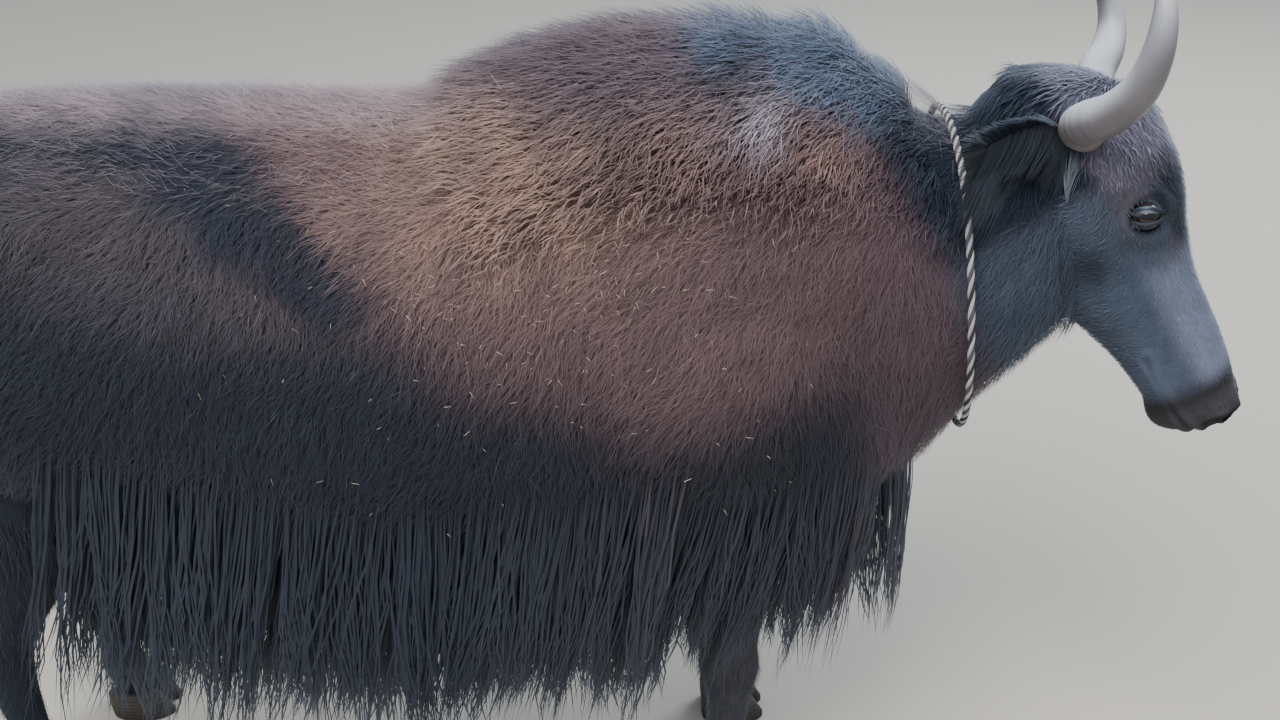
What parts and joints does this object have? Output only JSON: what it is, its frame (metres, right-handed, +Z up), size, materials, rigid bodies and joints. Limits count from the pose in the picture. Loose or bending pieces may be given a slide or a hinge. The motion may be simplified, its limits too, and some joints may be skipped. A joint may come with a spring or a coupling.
{
  "type": "yak, life-size still model",
  "caption": "Life-size still model of a standing domestic yak with upswept horns, shaggy coat, long skirt and a thin rope round the neck.",
  "frame": {"origin": "middle of the bottom of the whole model's box, on the floor under the barrel", "axes": "+X forwards along the body, +Y to the animal's left, +Z up"},
  "size_m": [1.9172, 0.7218, 1.3569],
  "materials": {
    "coat": "dense woolly hair, rusty brown with straw flecks, darker below",
    "dark_coat": "slate-black long hair with a pale sheen",
    "horn": "smooth keratin, ivory grey, darker beneath",
    "claw": "dark keratin with fine growth rings",
    "eye": "wet, very dark brown",
    "rope": "twisted pale and dark yarn"
  },
  "bodies": {
    "root": {"torso": "coat", "neck": "coat", "head": "dark_coat", "ear_left": "dark_coat", "ear_right": "dark_coat", "eye_left": "eye", "eye_right": "eye", "horn_left": "horn", "horn_right": "horn", "leg_front_left": "coat", "leg_front_right": "coat", "leg_hind_left": "coat", "leg_hind_right": "coat", "claw_outer_front_left": "claw", "claw_inner_front_left": "claw", "claw_outer_front_right": "claw", "claw_inner_front_right": "claw", "claw_outer_hind_left": "claw", "claw_inner_hind_left": "claw", "claw_outer_hind_right": "claw", "claw_inner_hind_right": "claw", "tail": "dark_coat", "neck_rope": "rope"}
  },
  "joints": []
}
